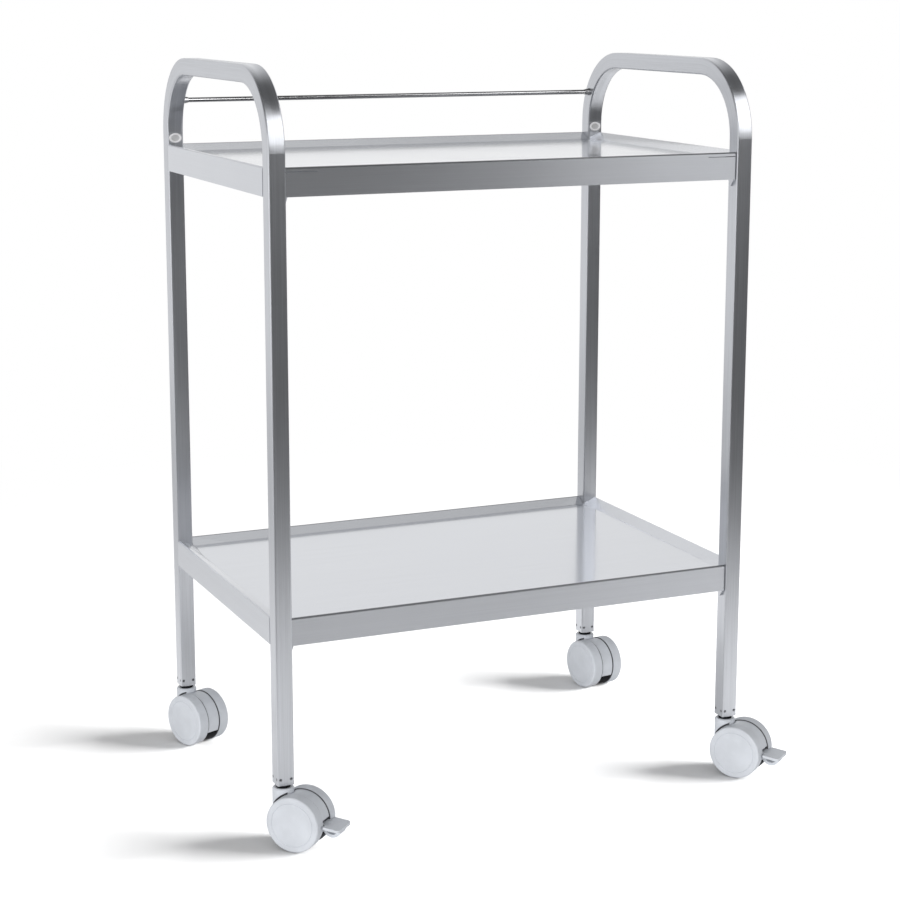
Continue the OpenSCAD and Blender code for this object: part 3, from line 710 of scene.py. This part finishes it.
class CART_OT_steelwork(bpy.types.Operator):
    """Finishes the end frames, the trays and their lugs in brushed steel"""

    bl_idname = "cart.steelwork"
    bl_label = "Steelwork"

    def execute(self, context):
        colours, sizes = context.scene.cart_colours, context.scene.cart_sizes
        tube = tube_steel(colours, sizes)
        for node in ("left_end_frame", "right_end_frame", "top_tray_lugs", "lower_tray_lugs"):
            dress(node, tube)
        for node in ("top_tray", "lower_tray"):
            dress(node, sheet_steel(colours, sizes, node))
        return {"FINISHED"}


class CART_OT_brightwork(bpy.types.Operator):
    """Finishes the guard rod, its ferrules, the stems, axles and pins in polished steel"""

    bl_idname = "cart.brightwork"
    bl_label = "Brightwork"

    def execute(self, context):
        colours = context.scene.cart_colours
        polish = polished("polished_steel", colours.polish, 1.0)[0]
        drawn = polished("drawn_rod", colours.rod, 1.0)[0]
        for node in ("guard_rod", "guard_rod_ferrules"):
            dress(node, drawn)
        nodes = [f"{corner}_{part}" for corner in CORNERS for part in ("stem", "axle")]
        nodes += [f"{corner}_pedal_pin" for corner in BRAKED_CORNERS]
        for node in nodes:
            dress(node, polish)
        return {"FINISHED"}


def add_plug(shape, middle, turn, sizes):
    """Adds one oval plug with a raised ring and a dished middle to a bmesh."""
    before = set(shape.verts)
    half, thick = sizes.plug_width / 2, sizes.plug_thickness
    section = [shape.verts.new((share * half, 0.0, rise * thick)) for share, rise in PLUG_SECTION]
    lines = [shape.edges.new(pair) for pair in zip(section, section[1:])]
    bmesh.ops.spin(
        shape, geom=section + lines, cent=(0.0, 0.0, 0.0), axis=(0.0, 0.0, 1.0),
        angle=2 * math.pi, steps=PLUG_STEPS, use_merge=True,
    )
    made = [vert for vert in shape.verts if vert not in before]
    bmesh.ops.scale(shape, vec=(1.0, sizes.plug_height / sizes.plug_width, 1.0), verts=made)
    bmesh.ops.rotate(shape, cent=(0.0, 0.0, 0.0), matrix=Matrix.Rotation(turn, 3, "X"), verts=made)
    bmesh.ops.translate(shape, vec=middle, verts=made)


class CART_OT_plugs(bpy.types.Operator):
    """Makes the oval dished plugs on the inner faces of the legs"""

    bl_idname = "cart.plugs"
    bl_label = "Leg plugs"

    def execute(self, context):
        colours, sizes = context.scene.cart_colours, context.scene.cart_sizes
        low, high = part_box("leg_plugs")
        shape = bmesh.new()
        for x in (low.x + sizes.plug_width / 2, high.x - sizes.plug_width / 2):
            for y, turn in ((low.y, -math.pi / 2), (high.y, math.pi / 2)):
                add_plug(shape, Vector((x, y, (low.z + high.z) / 2)), turn, sizes)
        bmesh.ops.remove_doubles(shape, verts=shape.verts, dist=0.000001)
        bmesh.ops.recalc_face_normals(shape, faces=shape.faces)
        for face in shape.faces:
            face.smooth = True
        mesh = bpy.data.meshes.new(PLUGS)
        shape.to_mesh(mesh)
        shape.free()
        mesh.materials.append(plug_finish(colours, sizes))
        made = bpy.data.objects.new(PLUGS, mesh)
        context.collection.objects.link(made)
        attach(made, "cart")
        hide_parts("leg_plugs")
        return {"FINISHED"}


class CART_OT_castors(bpy.types.Operator):
    """Finishes the castors' hoods, wheels, tyres, pedals and dark inner parts"""

    bl_idname = "cart.castors"
    bl_label = "Castors"

    def execute(self, context):
        colours, sizes = context.scene.cart_colours, context.scene.cart_sizes
        grey = moulding("castor_grey", colours.castor, *HARD_PLASTIC)[0]
        black = moulding("castor_black", colours.black, *DARK_PLASTIC)[0]
        for corner in CORNERS:
            dress(f"{corner}_hood", hood_plastic(colours, sizes, corner))
            tread = tyre_plastic(colours, sizes, corner)
            for part in ("core", "washer", "socket"):
                dress(f"{corner}_{part}", black)
            for side in WHEEL_SIDES:
                dress(f"{corner}_wheel_{side}", grey)
                dress(f"{corner}_tyre_{side}", tread)
        for corner in BRAKED_CORNERS:
            dress(f"{corner}_pedal", grey)
        return {"FINISHED"}


class CART_PT_panel(bpy.types.Panel):
    """Lists the cart's settings and steps"""

    bl_idname = "CART_PT_panel"
    bl_label = "Instrument cart"
    bl_space_type = "VIEW_3D"
    bl_region_type = "UI"
    bl_category = "Cart"

    def draw(self, context):
        for settings in (context.scene.cart_sizes, context.scene.cart_colours):
            for name in settings.__annotations__:
                self.layout.prop(settings, name)
        for step in STEPS:
            self.layout.operator(step.bl_idname)


STEPS = (CART_OT_steelwork, CART_OT_brightwork, CART_OT_plugs, CART_OT_castors, CART_OT_stage)
CLASSES = (CartColours, CartSizes, *STEPS, CART_PT_panel)


def register():
    for each in CLASSES:
        bpy.utils.register_class(each)
    bpy.types.Scene.cart_colours = bpy.props.PointerProperty(type=CartColours)
    bpy.types.Scene.cart_sizes = bpy.props.PointerProperty(type=CartSizes)


def unregister():
    del bpy.types.Scene.cart_sizes
    del bpy.types.Scene.cart_colours
    for each in reversed(CLASSES):
        bpy.utils.unregister_class(each)


def main():
    register()
    bpy.ops.cart.steelwork()
    bpy.ops.cart.brightwork()
    bpy.ops.cart.plugs()
    bpy.ops.cart.castors()
    bpy.ops.cart.stage()


if __name__ == "__main__":
    main()
